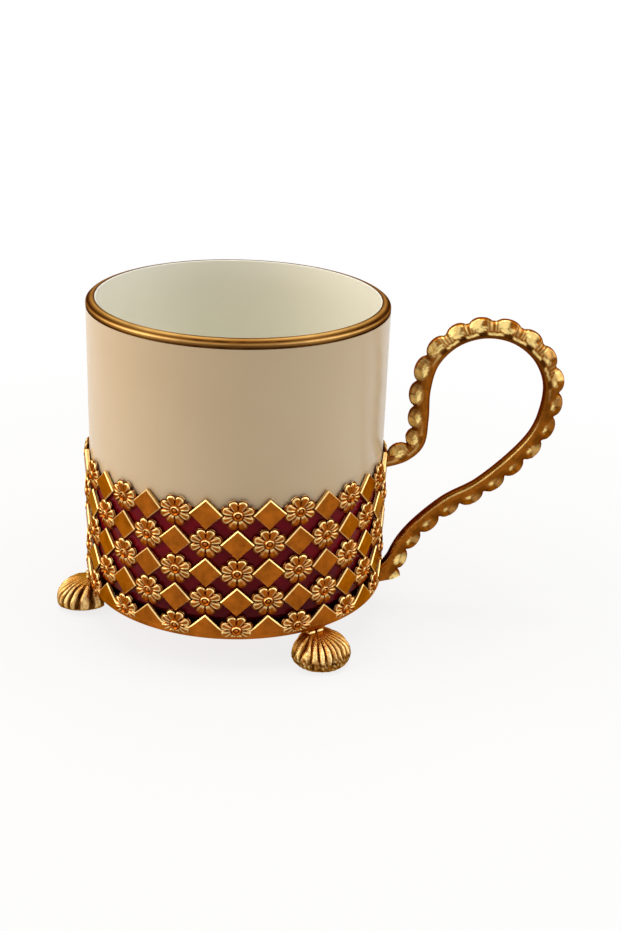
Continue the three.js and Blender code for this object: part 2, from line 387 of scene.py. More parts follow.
def makeCup():
    cup = cupShape
    radius = sizes["cupRadius"]
    profile = [
        (0, cup["underside"]),
        (cup["footInner"], cup["underside"]),
        (cup["footInner"], sizes["seatHeight"]),
        (cup["footOuter"], sizes["seatHeight"]),
        (cup["wallUnderEnamel"], cup["cornerHeight"]),
        (cup["wallUnderEnamel"], cup["glazeStep"]),
        (radius, cup["glazeStep"]),
        (radius, cup["rimStep"]),
        (radius - cup["rimSeat"], cup["rimStep"]),
        *cup["underRim"],
        (cup["lipInside"], cup["underRim"][-1][1]),
        (cup["wallInside"], cup["lipStart"]),
        (cup["wallInside"], cup["floor"]),
        (0, cup["floor"]),
    ]
    bm = turnProfile(profile, cup["corners"], closed=False)
    for face in bm.faces:
        middle = face.calc_center_median()
        reach = math.hypot(middle.x, middle.y)
        if reach < cup["paleWithin"] and middle.z > cup["paleAbove"]:
            face.material_index = 1
        elif reach > cup["footOuter"] and middle.z < cup["enamelBelow"]:
            face.material_index = 2  # the enamel runs under the corner to the foot ring
    glazes = [glaze["ivoryGlaze"], glaze["paleGlaze"], glaze["burgundyEnamel"]]
    makePiece("porcelainInsert", bm, glazes, "insert", ["porcelain_cup"])


rimShape = {
    "proud": 0.03,
    "apex": 26.16,
    "shoulder": 54.5,
    "hem": 54.0,
    "curveSteps": 26,
    "curveShare": 0.75,  # of the way from the apex to the hem
    "hemStops": (0.78, 0.82, 0.86, 0.9, 1.0),
    "under": [(27.53, 54.0), (27.53, 54.44), (27.13, 54.95), (26.23, 55.15), (26.23, 55.47)],
    # lengthwise lines, from the apex to the hem: sunk grooves with painted dark reflections, then painted bright
    # reflections
    "dark": [(0, 1.0), (0.06, 0.6), (0.14, 0.1), (0.2, 0.0), (0.28, 0.4), (0.42, 1.0), (0.5, 0.7), (0.58, 0.1),
             (0.64, 0.1), (0.72, 0.6), (0.78, 0.5), (0.88, 1.0), (1, 1.0)],
    "light": [(0, 0.2), (0.1, 0.8), (0.18, 1.0), (0.26, 0.5), (0.36, 0.1), (0.44, 0.0), (0.54, 0.5), (0.6, 0.6),
              (0.68, 0.4), (0.78, 0.2), (0.88, 0.0), (1, 0.0)],
    "sunk": 0.035,
    "sinkSpan": (0.0, 0.1),
    # painted light and shade round the lip, by angle: how bright the gilding is painted
    "bright": [(-180, 0.7), (-145, 0.9), (-119, 1.5), (-100, 0.7), (-84, 0.35), (-72, 0.6), (-57, 1.25), (-31, 0.8),
               (0, 0.7), (180, 0.7)],
    "darkByBright": (1.6, -0.7),
}


def makeRim():
    # a rounded gilt lip: highest near its inside edge, falling to the outside, with sunk lengthwise lines and painted
    # dark and bright reflections along it
    rim = rimShape
    outer = sizes["cupRadius"] + rim["proud"]
    wide = outer - rim["apex"]
    high = sizes["rimHeight"] - rim["shoulder"]
    curve, hem = rim["curveShare"], rim["shoulder"] - rim["hem"]
    profile = []
    for step in range(rim["curveSteps"] + 1):
        share = step / rim["curveSteps"]
        turn = math.pi / 2 * (1 - share)
        kept = 1 - rim["sunk"] * fromTable(rim["dark"], curve * share) * rise(rim["sinkSpan"], share)
        profile.append((rim["apex"] + wide * math.cos(turn) * kept, rim["shoulder"] + high * math.sin(turn)))
    for share in rim["hemStops"]:
        drop = (share - curve) / (1 - curve) * hem
        profile.append((outer - rim["sunk"] * fromTable(rim["dark"], share), rim["shoulder"] - drop))
    bm = turnProfile(profile + rim["under"], {}, closed=True)
    recessAndShade = bm.verts.layers.float.new("recessAndShade")
    wearAndPaintedLight = bm.verts.layers.float.new("wearAndPaintedLight")
    for vert in bm.verts:
        climb = (vert.co.z - rim["shoulder"]) / high
        reach = (math.hypot(vert.co.x, vert.co.y) - rim["apex"]) / wide
        share = curve * (1 - math.atan2(climb, max(reach, meshing["weld"])) / (math.pi / 2))
        if climb < 0:
            share = curve + (1 - curve) * (rim["shoulder"] - vert.co.z) / hem
        # painted reflections: dark and bright lengthwise lines, lighter or darker round the lip by angle
        bright = fromTable(rim["bright"], math.degrees(math.atan2(vert.co.y, vert.co.x)))
        vert[recessAndShade] = min(1.0, fromTable(rim["dark"], share) * graded(rim["darkByBright"], bright))
        vert[wearAndPaintedLight] = min(1.0, fromTable(rim["light"], share) * bright)
    makePiece("gildedLip", bm, [gold["rimGold"]], "insert", ["gilt_rim"])


enamelShape = {"thickness": 0.3, "edge": 0.1}


def makeEnamel():
    outer, low, high = sizes["cupRadius"], sizes["burgundyBottom"], sizes["burgundyTop"]
    inner, edge = outer - enamelShape["thickness"], enamelShape["edge"]
    profile = [(inner, low), (outer, low), (outer, high), (inner, high)]
    bm = turnProfile(profile, {1: edge, 2: edge}, closed=True)
    makePiece("burgundySleeve", bm, [glaze["burgundyEnamel"]], "insert", ["burgundy_band"])


makeCup()
makeRim()
makeEnamel()


# the holder's pierced wall

def galleryPlaces(wanted, rows):
    # each place turns a shape from its own frame (face towards +X) to its row and column
    places = []
    for row in rows:
        for column in range(sizes["columns"]):
            kind = "rosette" if (row + column) % 2 == 0 else "diamond"
            if kind == wanted:
                turn = Matrix.Rotation((column + 0.5) * 2 * math.pi / sizes["columns"], 4, "Z")
                height = sizes["topRowHeight"] - row * sizes["rowPitch"]
                places.append(turn @ Matrix.Translation((sizes["galleryBack"], 0, height)))
    return places


diamondShape = {
    "halfWidth": 2.98,
    "halfHeight": 2.84,
    "thickness": 0.68,
    "edge": 0.17,
    "flat": 0.95,  # faces this square to the front get no painted highlight
    "slope": 0.3,
    "edgeHighlight": 1.0,
    "sideHighlight": 0.7,
    "lowHighlight": 0.4,  # the lower edges get less painted highlight, as the light falls from above
}


def makeDiamonds():
    diamond = diamondShape
    plate = bmesh.new()
    bmesh.ops.create_circle(plate, cap_ends=True, segments=4, radius=1.0)
    standing = Matrix(((0, 0, 1, 0), (1, 0, 0, 0), (0, 1, 0, 0), (0, 0, 0, 1)))
    bmesh.ops.transform(plate, matrix=standing, verts=plate.verts)
    bmesh.ops.scale(plate, vec=(1, diamond["halfWidth"], diamond["halfHeight"]), verts=plate.verts)
    pulled = bmesh.ops.extrude_face_region(plate, geom=plate.faces[:])
    front = [item for item in pulled["geom"] if isinstance(item, bmesh.types.BMVert)]
    bmesh.ops.translate(plate, vec=(diamond["thickness"], 0, 0), verts=front)
    frontEdges = [edge for edge in plate.edges if all(vert in front for vert in edge.verts)]
    roundOff(plate, frontEdges, diamond["edge"], segments=1)
    bmesh.ops.recalc_face_normals(plate, faces=plate.faces)
    plate.normal_update()
    wearAndPaintedLight = plate.loops.layers.float.new("wearAndPaintedLight")
    # painted highlights on the chamfer and the sides, weaker on the lower edges
    for face in plate.faces:
        rubbedAndHighlight = diamond["edgeHighlight"] if face.normal.x > diamond["slope"] else diamond["sideHighlight"]
        if abs(face.normal.x) > diamond["flat"]:
            rubbedAndHighlight = 0.0
        if face.normal.z <= 0:
            rubbedAndHighlight *= diamond["lowHighlight"]
        for loop in face.loops:
            loop[wearAndPaintedLight] = rubbedAndHighlight
    bm = bmesh.new()
    for place in galleryPlaces("diamond", range(sizes["rows"] - 1)):  # the lowest row grows from the band
        addShape(bm, plate, place)
    plate.free()
    makePiece("galleryDiamonds", bm, [gold["diamondGold"]], "holder", ["pierced_gallery"], sharpAngle=35)


rosetteShape = {
    "petals": 8,
    "samplesInPetal": 8,
    "widen": 1.06,
    "back": 0.08,
    "backShare": 0.97,
    # radius at the gap beside a petal and at the petal's middle
    "plateReach": (2.2, 2.95),
    "petalReach": (1.95, 2.74),
    "petalFoot": 1.0,
    "cutHeight": 0.7,
    "lowRowOut": 0.14,
    # across half a petal, from its crease to the gap beside it
    "ridges": [(0, 0.62), (0.25, 0.82), (0.5, 1.0), (0.75, 0.76), (1, 0.3)],
    # heights of the lobed plate, from its outline to the petal's end
    "plate": [(0, 0.16), (0.3, 0.28), (1, 0.26)],
    # heights of a petal, from the boss to its end
    "petal": [(0.08, 0.66), (0.35, 0.76), (0.6, 0.7), (0.8, 0.62), (0.93, 0.5), (1, 0.3)],
    # heights of the ring and pip in the middle, by radius
    "boss": [(0, 0.92), (0.22, 0.88), (0.42, 0.66), (0.58, 0.86), (0.74, 0.94), (0.88, 0.74), (0.98, 0.56)],
}


# painted shade and highlights, with patina and wear, on a rosette: darker below and in its creases, brighter on upward
# and sideways slopes; spans are ranges, other pairs a number and what is graded on top of it
rosetteWearAndPaintedLight = {
    "backDark": 0.3, "plateDark": 0.45, "plateHighlight": (0.1, 0.7), "lobeSpan": (0.5, 1.0), "outlineSpan": (0.0, 0.3),
    "creaseDark": 0.45, "creaseSpan": (0.7, 1.0), "lowDark": 0.3, "footDark": 0.15, "footSpan": (0.1, 0.4),
    "ridgeHighlight": (0.15, 0.62), "ridgeSpan": (0.9, 1.0), "ridgeEndSpan": (0.85, 1.0), "sidePower": 1.5,
    "endHighlight": (0.05, 0.95), "endSides": 0.5, "endSpan": (0.8, 0.93, 0.93, 1.0),
    "lowFootHighlight": 0.8, "lowFootSpan": (0.1, 0.35),
    "bossDark": 0.6, "bossLowSpan": (0.6, 0.85), "bossHighlight": (0.15, 0.75), "bossHighSpan": (0.84, 0.94),
    "wearAndHighlightSpan": (0.15, 0.85),
}


def rosetteStops():
    # the rings of one rosette, from the middle of its back, over its edge, to the middle of its face
    rosette = rosetteShape
    stops = [("back", 0.0), ("back", rosette["backShare"])]
    stops += [("plate", share) for share, height in rosette["plate"]]
    stops += [("petal", share) for share, height in reversed(rosette["petal"])]
    stops += [("boss", radius) for radius, height in reversed(rosette["boss"])]
    return stops


def rosettePoint(around, along):
    rosette, wearAndPaintedLight = rosetteShape, rosetteWearAndPaintedLight
    stops = rosetteStops()
    kind, share = stops[round(along * (len(stops) - 1))]
    angle = 2 * math.pi * around  # from the top of the rosette
    step = 2 * math.pi / rosette["petals"]
    aside = abs((angle % step) - step / 2) / (step / 2)
    lobe = math.sqrt(max(0.0, 1 - aside ** 2))
    plateReach, petalReach = (low + (high - low) * lobe
                              for low, high in (rosette["plateReach"], rosette["petalReach"]))
    # painted light: upward slopes get more highlight, lower petals more shade, sideways ridges more highlight
    raised, lowered, sideways = max(0.0, math.cos(angle)), max(0.0, -math.cos(angle)), abs(math.sin(angle))
    radius, height, hollowAndShade, rubbedAndHighlight = plateReach * share, rosette["back"], wearAndPaintedLight["backDark"], 0.0
    if kind == "plate":
        radius = plateReach + (petalReach - plateReach) * share
        height = fromTable(rosette["plate"], share)
        hollowAndShade += wearAndPaintedLight["plateDark"] * share
        rubbedAndHighlight = graded(wearAndPaintedLight["plateHighlight"], raised) * fall(wearAndPaintedLight["lobeSpan"], aside) * fall(wearAndPaintedLight["outlineSpan"], share)
    elif kind == "petal":
        radius = rosette["petalFoot"] + (petalReach - rosette["petalFoot"]) * share
        ridge = fromTable(rosette["ridges"], aside)
        low = rosette["plate"][-1][1]
        height = low + (fromTable(rosette["petal"], share) - low) * ridge
        hollowAndShade = wearAndPaintedLight["creaseDark"] * rise(wearAndPaintedLight["creaseSpan"], aside) * fall(wearAndPaintedLight["endSpan"][:2], share)
        hollowAndShade += wearAndPaintedLight["lowDark"] * lowered * share + wearAndPaintedLight["footDark"] * fall(wearAndPaintedLight["footSpan"], share)
        onRidge = graded(wearAndPaintedLight["ridgeHighlight"], sideways ** wearAndPaintedLight["sidePower"])
        onRidge *= rise(wearAndPaintedLight["ridgeSpan"], ridge) * fall(wearAndPaintedLight["ridgeEndSpan"], share)
        onEnd = graded(wearAndPaintedLight["endHighlight"], max(raised, wearAndPaintedLight["endSides"] * sideways)) * within(wearAndPaintedLight["endSpan"], share)
        onFoot = wearAndPaintedLight["lowFootHighlight"] * lowered * fall(wearAndPaintedLight["lowFootSpan"], share) * fall(wearAndPaintedLight["lobeSpan"], aside)
        rubbedAndHighlight = max(onRidge, onEnd, onFoot)
    elif kind == "boss":
        radius = share
        height = fromTable(rosette["boss"], share)
        hollowAndShade = wearAndPaintedLight["bossDark"] * fall(wearAndPaintedLight["bossLowSpan"], height)
        rubbedAndHighlight = rise(wearAndPaintedLight["bossHighSpan"], height) * graded(wearAndPaintedLight["bossHighlight"], raised)
    point = Vector((height, -radius * rosette["widen"] * math.sin(angle), radius * math.cos(angle)))
    return point, min(1.0, hollowAndShade), rise(wearAndPaintedLight["wearAndHighlightSpan"], rubbedAndHighlight)


def makeRosettes():
    rosette = rosetteShape
    lowRow = sizes["rows"] - 1
    flower = wrapGrid(rosette["petals"] * rosette["samplesInPetal"], len(rosetteStops()) - 1, rosettePoint)
    bm = bmesh.new()
    for place in galleryPlaces("rosette", [lowRow]):  # these lie over the plain band
        addShape(bm, flower, place @ Matrix.Translation((rosette["lowRowOut"], 0, 0)))
    cutAway(bm, (0, 0, rosette["cutHeight"]), (0, 0, -1))
    for place in galleryPlaces("rosette", range(lowRow)):
        addShape(bm, flower, place)
    flower.free()
    makePiece("galleryRosettes", bm, [gold["rosetteGold"]], "holder", ["pierced_gallery"], sharpAngle=60)


bandShape = {
    "inner": 28.12,
    "gap": 0.02,  # over the base disc
    "top": 1.9,
    "edge": 0.17,
    "edgeFoot": 0.08,
    "slant": 1.4,  # the edge is deeper on a tooth's slope
    "firstTooth": 0.75,  # in tooth pitches
    "topHighlight": 0.6,
    # across one tooth and the flat beside it, in half widths of a tooth
    "offsets": [-1.0, -0.75, -0.5, -0.25, 0.0, 0.25, 0.5, 0.75, 1.0, 1.45, 1.913, 2.38],
}


def makeBand():
    # the plain band with the lowest row of half diamonds standing on it
    band = bandShape
    inner, outer = band["inner"], sizes["galleryFront"]
    low = sizes["seatHeight"] + band["gap"]
    lowRow = sizes["topRowHeight"] - (sizes["rows"] - 1) * sizes["rowPitch"]
    halfTooth = diamondShape["halfWidth"] / outer
    pitch = 4 * math.pi / sizes["columns"]
    count = len(band["offsets"]) * sizes["columns"] // 2
    rings = 6

    def bandPoint(around, along):
        number = round(around * count)
        tooth, sample = divmod(number, len(band["offsets"]))
        off = band["offsets"][sample]
        angle = (band["firstTooth"] + tooth) * pitch + off * halfTooth
        top = max(band["top"], lowRow + diamondShape["halfHeight"] * (1 - abs(off)))
        corner = top - (band["slant"] if abs(off) < 1 else 1.0) * band["edge"]
        # the chamfer and the top carry a painted highlight
        reach, height, rubbedAndHighlight = [
            (inner, low, 0.0), (outer, low, 0.0), (outer, corner - band["edgeFoot"], 0.0), (outer, corner, 1.0),
            (outer - band["edge"], top, 1.0), (inner, top, band["topHighlight"]), (inner, low, 0.0)][round(along * rings)]
        return Vector((reach * math.cos(angle), reach * math.sin(angle), height)), 0.0, rubbedAndHighlight

    bm = wrapGrid(count, rings, bandPoint)
    makePiece("galleryBand", bm, [gold["baseGold"]], "holder", ["pierced_gallery"], sharpAngle=35)


baseShape = {"lowEdge": 0.25, "topEdge": 0.05}


def makeBase():
    radius, top = sizes["galleryFront"], sizes["seatHeight"]
    profile = [(0, 0), (radius, 0), (radius, top), (0, top)]
    bm = turnProfile(profile, {1: baseShape["lowEdge"], 2: baseShape["topEdge"]}, closed=False)
    makePiece("baseDisc", bm, [gold["baseGold"]], "holder", ["base_plate"])


makeDiamonds()
makeRosettes()
makeBand()
makeBase()


# the handle

handleShape = {
    "root": 29.19,
    "upperRoot": 24.75,
    "lowerRoot": 0.3,
    "loopRadius": 11.8,
    "loopMiddle": (17.3, 14.4),
    "loopAngles": (180, -14),
    "loopPoints": 8,
    "upperPoints": [(-2.8, -0.6), (0, 0), (2.8, 1.2), (5.0, 3.6), (5.5, 8.3)],
    "lowerPoints": [(26.8, 30.2), (17.8, 20.2), (11.0, 15.7), (4.3, 8.6), (1.8, 3.5), (0.7, -1.6)],
    "walkSteps": 60,
    "steps": 480,
    "samples": 22,  # round each half
    # where along the handle each numbered bead has its middle
    "beads": [(0, -0.1), (0.046, 1), (0.093, 2), (0.132, 3), (0.175, 4), (0.219, 5), (0.262, 6), (0.301, 7),
              (0.336, 8), (0.38, 9), (0.423, 10), (0.46, 11), (0.502, 12), (0.542, 13), (0.585, 14), (0.715, 17),
              (0.948, 22), (0.9915, 23), (1, 23.2)],
    "stripInner": -1.4,
    "stripRound": 0.7,
    "stripShoulder": -0.1,
    "stripHalfWidth": 1.4,
    "valleys": [(0, 1.5), (0.24, 1.6), (0.3, 1.9), (0.44, 1.9), (0.5, 1.7), (0.6, 1.6), (1, 1.5)],  # between two beads
    "beadMiddle": 1.2,
    "beadReach": 1.4,
    "beadHalfWidth": 1.72,
    "beadLength": 0.97,
    # how far each worn flat of a bead leans outward and along the handle: two outer ones, then the inner one
    "facets": [(0.5, 0.45), (0.4, -0.55), (-0.25, 0.1)],
    "facetHalfWidth": 1.48,
    "facetMeet": 1.05,
    # each flat's own change of lean, twist and width: most, then the step and start of the chance
    "facetVary": [(0.3, 1.7, 0.3), (0.45, 1.3, 5.1), (0.1, 1.9, 9.3)],
    "joinPower": 6,  # how tightly a bead joins the strip
    "castDepth": 0.12,
    "castScale": 1.3,
    "flareSpan": (0.945, 1.0),
    "flare": 1.7,
    # the ends are cut off at these places, on these sides
    "ends": [((28.45, 0, 0), (-1, 0, 0)), ((29.2, 0, -0.75), (0.27, 0, -0.96))],
}
# painted light and shade, with patina and wear, on the handle: tables run along it, spans are ranges along it, across
# it or along a bead
handleWearAndPaintedLight = {
    # how bright the handle is painted along its length, as the light falls on it
    "wornAndLit": [(0, 1.1), (0.1, 1.05), (0.13, 0.95), (0.2, 0.92), (0.25, 1.0), (0.3, 1.1), (0.36, 1.08), (0.42, 1.0),
             (0.46, 0.8), (0.5, 0.75), (0.56, 0.8), (0.62, 0.75), (0.68, 0.64), (0.82, 0.64), (0.9, 0.68), (0.95, 0.9),
             (1, 0.9)],
    # painted highlights on a bead's round part and each of its flats, by how the light falls on them, and an even
    # painted lift all over a bead
    "beadSpan": (0.7, 1.0), "facets": (0.12, 0.7, 0.18, 0.85), "facetOwn": (0.85, 0.7), "facetChance": (2.1, 3.3),
    "crease": 0.6, "creaseSpan": (0.03, 0.1),
    "polishAndLight": [(0, 0.1), (0.1, 0.15), (0.14, 0.2), (0.24, 0.2), (0.3, 0), (1, 0)],
    # a painted highlight, a bright wedge, on each bead
    "wedge": (0.3, 0.7), "wedgeAt": (0.15, 0.8), "wedgeLean": 0.3, "wedgeSpan": (0.3, 0.45),
    "wedgeEndSpan": (0.8, 0.95), "wedgeGrowth": 0.3, "wedgeSideSpan": (0.2, 0.3),
    # painted shade on the strip and its inner face, with a painted bright edge on the run below the loop
    "lowerSpan": (0.52, 0.62), "lowerEdge": 0.6, "lowerEdgeAt": (0.42, 0.16),
    "inside": 0.85, "insideSpan": (0.1, 0.4), "insideLowerSpan": (0.0, 0.14),
    "stripShade": [(0, 0.1), (0.24, 0.1), (0.3, 0.8), (0.42, 0.8), (0.5, 0.5), (1, 0.5)],
    "stripSpan": (0.2, 0.6), "stripEndSpan": (0.0, 0.3),
    # painted shade in the gaps between the beads, or where the strip shines, painted bright lengths and flutes, and a
    # painted shadow notch under each bead
    "stripShine": [(0, 0.5), (0.1, 0.5), (0.14, 0.15), (0.22, 0.2), (0.28, 1.0), (0.42, 1.0), (0.48, 0.75),
                   (0.54, 0.25), (0.6, 0), (1, 0)],
    "between": (0.6, -0.45), "betweenSpan": (0.35, 0.75), "betweenOutSpan": (0.6, 1.1),
    "gap": 0.5, "gapAt": 0.4, "gapSpan": (0.25, 0.6),
    "notchShadow": 0.8, "notchAt": 0.15, "notchSpread": 0.25, "notchSpan": (0.18, 0.34), "notchInSpan": (0.7, 0.9),
    "notchOutSpan": (0.2, 0.5),
    "line": 0.75, "lineSpan": (0.9, 1.0, 1.35, 1.5), "lineSideSpan": (0.3, 0.45),
    "flute": 0.25, "fluteSpan": (0.2, 0.4), "fluteTurns": 26,
    "wearAndHighlightSpan": (0.12, 0.85),
}


def handlePoints():
    shape = handleShape
    points = [Vector((shape["root"] + x, 0, shape["upperRoot"] + z)) for x, z in shape["upperPoints"]]
    middleX = shape["root"] + shape["loopMiddle"][0]
    middleZ = shape["upperRoot"] + shape["loopMiddle"][1]
    first, last = shape["loopAngles"]
    for step in range(shape["loopPoints"]):
        angle = math.radians(first + (last - first) * step / (shape["loopPoints"] - 1))
        points.append(Vector((middleX + shape["loopRadius"] * math.cos(angle), 0,
                              middleZ + shape["loopRadius"] * math.sin(angle))))
    points += [Vector((shape["root"] + x, 0, shape["lowerRoot"] + z)) for x, z in shape["lowerPoints"]]
    return points


def smoothPath(points, spans):
    # a centripetal curve through the points, walked in many short steps
    walked = []
    ends = [2 * points[0] - points[1]] + points + [2 * points[-1] - points[-2]]
    for a, b, c, d in zip(ends, ends[1:], ends[2:], ends[3:]):
        first, second, third = (b - a).length ** 0.5, (c - b).length ** 0.5, (d - c).length ** 0.5
        leave = ((b - a) / first - (c - a) / (first + second) + (c - b) / second) * second
        arrive = ((c - b) / second - (d - b) / (second + third) + (d - c) / third) * second
        for step in range(spans):
            t = step / spans
            walked.append(b + leave * t + (3 * (c - b) - 2 * leave - arrive) * t ** 2
                          + (2 * (b - c) + leave + arrive) * t ** 3)
    walked.append(points[-1])
    return walked


def evenSteps(walked, count):
    # points and headings at equal distances along the walked line
    lengths = [0.0]
    for a, b in zip(walked, walked[1:]):
        lengths.append(lengths[-1] + (b - a).length)
    found = []
    index = 0
    for step in range(count + 1):
        wanted = lengths[-1] * step / count
        while index < len(walked) - 2 and lengths[index + 1] < wanted:
            index += 1
        share = (wanted - lengths[index]) / (lengths[index + 1] - lengths[index])
        heading = (walked[index + 1] - walked[index]).normalized()
        found.append((walked[index].lerp(walked[index + 1], share), heading))
    return found


def handleHalf(out, phase, inner, valley, number):
    # half width of the handle at a distance outward; phase runs from -1 to 1 along the numbered bead
    shape = handleShape
    strip = shape["stripHalfWidth"]
    if out < inner + shape["stripRound"]:
        strip *= math.sqrt(max(0.0, 1 - ((inner + shape["stripRound"] - out) / shape["stripRound"]) ** 2))
    elif out > shape["stripShoulder"]:
        down = (out - shape["stripShoulder"]) / (valley - shape["stripShoulder"])
        strip *= math.sqrt(max(0.0, 1 - down ** 2))
    away = (phase / shape["beadLength"]) ** 2 + ((out - shape["beadMiddle"]) / shape["beadReach"]) ** 2
    bead = shape["beadHalfWidth"] * math.sqrt(max(0.0, 1 - away))
    # each bead has three worn flats on either side, tilted a little their own way
    flats = []
    for side, (lean, twist) in enumerate(shape["facets"]):
        moreLean, moreTwist, lift = (most * chance(number, step, start + side)
                                     for most, step, start in shape["facetVary"])
        tilt = (twist + moreTwist) * phase - (lean + moreLean) * (out - shape["facetMeet"])
        flats.append(shape["facetHalfWidth"] + lift + tilt)
    flat, second = sorted(flats)[:2]
    wide, facet, crease = bead, 0, 0.0
    if flat < bead:
        wide, facet, crease = flat, flats.index(flat) + 1, fall(handleWearAndPaintedLight["creaseSpan"], second - flat)
    power = shape["joinPower"]
    return (strip ** power + max(0.0, wide) ** power) ** (1 / power), away, facet, crease


def handleFinish(along, out, deep, phase, number, onBead, facet, crease):
    # painted shade and highlights, with patina and wear, at a point: out is measured from the middle line, deep from
    # the inner face
    wearAndPaintedLight = handleWearAndPaintedLight
    wornAndLit, shine = fromTable(wearAndPaintedLight["wornAndLit"], along), fromTable(wearAndPaintedLight["stripShine"], along)
    lower = rise(wearAndPaintedLight["lowerSpan"], along)
    edgeAt, edgeWidth = wearAndPaintedLight["lowerEdgeAt"]
    edge = wearAndPaintedLight["lowerEdge"] * lower * math.exp(-((deep - edgeAt) / edgeWidth) ** 2)
    insideSpan = [high + (low - high) * lower for high, low in zip(wearAndPaintedLight["insideSpan"], wearAndPaintedLight["insideLowerSpan"])]
    onStrip = (1 - lower) * rise(wearAndPaintedLight["stripSpan"], deep) * fall(wearAndPaintedLight["stripEndSpan"], out)
    wedgeAlong, wedgeOut = wearAndPaintedLight["wedgeAt"]
    lean = phase - wedgeAlong - wearAndPaintedLight["wedgeLean"] * (out - wedgeOut)
    wedge = rise(wearAndPaintedLight["wedgeSpan"], out) * fall(wearAndPaintedLight["wedgeEndSpan"], out - wearAndPaintedLight["wedgeGrowth"] * wornAndLit)
    wedge *= fall(wearAndPaintedLight["wedgeSideSpan"], abs(lean) / wornAndLit)
    between = rise(wearAndPaintedLight["betweenSpan"], abs(phase))
    under = abs(phase - wearAndPaintedLight["notchAt"]) + wearAndPaintedLight["notchSpread"] * max(0.0, out)
    gap = between * fall(wearAndPaintedLight["gapSpan"], abs(out - wearAndPaintedLight["gapAt"])) * (1 - shine)
    notchShadow = shine * fall(wearAndPaintedLight["notchSpan"], under) * rise(wearAndPaintedLight["notchInSpan"], deep) * fall(wearAndPaintedLight["notchOutSpan"], out)
    line = within(wearAndPaintedLight["lineSpan"], deep) * rise(wearAndPaintedLight["lineSideSpan"], under)
    flute = between * rise(wearAndPaintedLight["fluteSpan"], out) * (1 + math.sin(wearAndPaintedLight["fluteTurns"] * phase))
    # painted shade: strip, gaps, the shadow notch under each bead, the inner face and the creases; painted highlights:
    # wedges, flats, the edge, bright lengths and flutes
    hollowAndShade = fromTable(wearAndPaintedLight["stripShade"], along) * onStrip * (1 - shine * line)
    hollowAndShade += graded(wearAndPaintedLight["between"], shine) * between * rise(wearAndPaintedLight["betweenOutSpan"], out)
    hollowAndShade += wearAndPaintedLight["gap"] * gap + wearAndPaintedLight["notchShadow"] * notchShadow
    hollowAndShade += wearAndPaintedLight["inside"] * fall(insideSpan, deep) + wearAndPaintedLight["crease"] * crease * onBead
    step, start = wearAndPaintedLight["facetChance"]
    own = graded(wearAndPaintedLight["facetOwn"], chance(number, step, start + facet))
    rubbedAndHighlight = min(1.0, graded(wearAndPaintedLight["wedge"], wornAndLit)) * wedge * own
    rubbedAndHighlight += (wornAndLit ** 2 * wearAndPaintedLight["facets"][facet] * own + fromTable(wearAndPaintedLight["polishAndLight"], along)) * onBead
    rubbedAndHighlight += edge + shine * (wearAndPaintedLight["line"] * line + wearAndPaintedLight["flute"] * flute)
    return min(1.0, hollowAndShade), rise(wearAndPaintedLight["wearAndHighlightSpan"], rubbedAndHighlight)


def makeHandle():
    shape = handleShape
    count = shape["steps"]
    steps = evenSteps(smoothPath(handlePoints(), shape["walkSteps"]), count)
    sides = 2 * shape["samples"]

    def handlePoint(around, along):
        middle, heading = steps[round(along * count)]
        outward = Vector((-heading.z, 0, heading.x))
        bead = fromTable(shape["beads"], along)
        number = math.floor(bead + 0.5)
        phase = (bead + 0.5) % 1 * 2 - 1
        inner = shape["stripInner"] - shape["flare"] * rise(shape["flareSpan"], along)
        valley = fromTable(shape["valleys"], along)
        bulge = math.sqrt(max(0.0, 1 - (phase / shape["beadLength"]) ** 2))
        outer = max(valley, shape["beadMiddle"] + shape["beadReach"] * bulge)
        side = round(around * sides)
        share = min(side, sides - side) / shape["samples"]
        out = inner + (outer - inner) * (1 - math.cos(math.pi * share)) / 2
        wide, away, facet, crease = handleHalf(out, phase, inner, valley, number)
        turn = 1 if side <= shape["samples"] else -1
        point = middle + outward * out + Vector((0, turn * wide, 0))
        onBead = fall(handleWearAndPaintedLight["beadSpan"], away)
        point += shape["castDepth"] * onBead * outward * noise.noise(point * shape["castScale"])
        return point, *handleFinish(along, out, out - inner, phase, number, onBead, facet, crease)

    bm = wrapGrid(sides, count, handlePoint)
    bmesh.ops.holes_fill(bm, edges=[edge for edge in bm.edges if edge.is_boundary], sides=0)
    for place, facing in shape["ends"]:
        cutAway(bm, place, facing)
    bmesh.ops.recalc_face_normals(bm, faces=bm.faces)
    makePiece("beadedHandle", bm, [gold["handleGold"]], "holder", ["handle"], sharpAngle=75)


makeHandle()


# the scallop-shell feet

